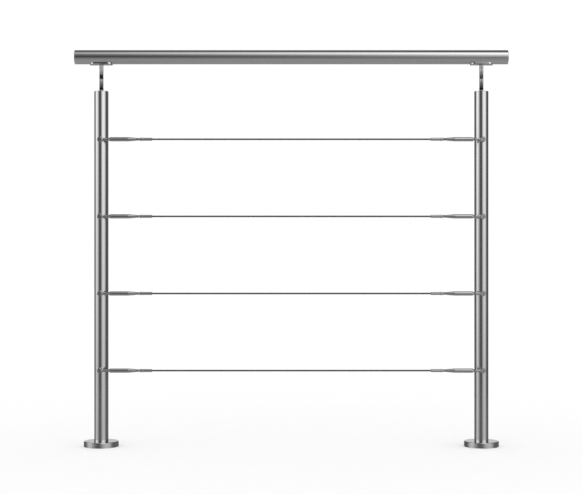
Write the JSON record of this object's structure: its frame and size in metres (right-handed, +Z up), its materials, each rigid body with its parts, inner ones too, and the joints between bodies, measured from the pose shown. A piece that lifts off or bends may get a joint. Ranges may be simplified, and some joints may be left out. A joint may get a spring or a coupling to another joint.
{
  "type": "wire balustrade",
  "caption": "Stainless wire balustrade: round posts on covered base plates, a round handrail on jointed brackets, and level tensioned wire ropes.",
  "frame": {"origin": "on the floor, midway between the two posts", "axes": "+X along the handrail, to the right seen from the wire side; -Y towards the side that the wires are on; +Z up"},
  "size_m": [1.31, 0.105, 1.198],
  "materials": {
    "satin_tube": "satin polished stainless tube",
    "turned_fitting": "turned and satin polished stainless",
    "base_cover": "pressed stainless, circular satin grain",
    "base_plate": "turned stainless plate with a weld bead",
    "wire_fitting": "turned, threaded and polished stainless",
    "wire_rope": "stranded stainless wire rope",
    "screw_steel": "machined stainless screws",
    "black_washer": "matt black washer"
  },
  "bodies": {
    "root": {"handrail_tube": "satin_tube", "left_base_plate": "base_plate", "left_base_cover": "base_cover", "left_post_tube": "satin_tube", "left_post_cap": "turned_fitting", "left_lower_stem": "turned_fitting", "left_upper_stem": "turned_fitting", "left_rail_saddle": "turned_fitting", "left_rail_end_cap": "turned_fitting", "right_base_plate": "base_plate", "right_base_cover": "base_cover", "right_post_tube": "satin_tube", "right_post_cap": "turned_fitting", "right_lower_stem": "turned_fitting", "right_upper_stem": "turned_fitting", "right_rail_saddle": "turned_fitting", "right_rail_end_cap": "turned_fitting", "stem_washers": "black_washer", "pivot_screws": "screw_steel", "stem_screws": "screw_steel", "rail_screws": "screw_steel", "wire_rope_1": "wire_rope", "left_post_spacer_1": "turned_fitting", "left_eye_end_1": "wire_fitting", "left_tensioner_body_1": "wire_fitting", "left_swage_stud_1": "wire_fitting", "right_post_spacer_1": "turned_fitting", "right_eye_end_1": "wire_fitting", "right_tensioner_body_1": "wire_fitting", "right_swage_stud_1": "wire_fitting", "wire_rope_2": "wire_rope", "left_post_spacer_2": "turned_fitting", "left_eye_end_2": "wire_fitting", "left_tensioner_body_2": "wire_fitting", "left_swage_stud_2": "wire_fitting", "right_post_spacer_2": "turned_fitting", "right_eye_end_2": "wire_fitting", "right_tensioner_body_2": "wire_fitting", "right_swage_stud_2": "wire_fitting", "wire_rope_3": "wire_rope", "left_post_spacer_3": "turned_fitting", "left_eye_end_3": "wire_fitting", "left_tensioner_body_3": "wire_fitting", "left_swage_stud_3": "wire_fitting", "right_post_spacer_3": "turned_fitting", "right_eye_end_3": "wire_fitting", "right_tensioner_body_3": "wire_fitting", "right_swage_stud_3": "wire_fitting", "wire_rope_4": "wire_rope", "left_post_spacer_4": "turned_fitting", "left_eye_end_4": "wire_fitting", "left_tensioner_body_4": "wire_fitting", "left_swage_stud_4": "wire_fitting", "right_post_spacer_4": "turned_fitting", "right_eye_end_4": "wire_fitting", "right_tensioner_body_4": "wire_fitting", "right_swage_stud_4": "wire_fitting", "rivet_inserts": "screw_steel", "eye_screws": "screw_steel"}
  },
  "joints": []
}
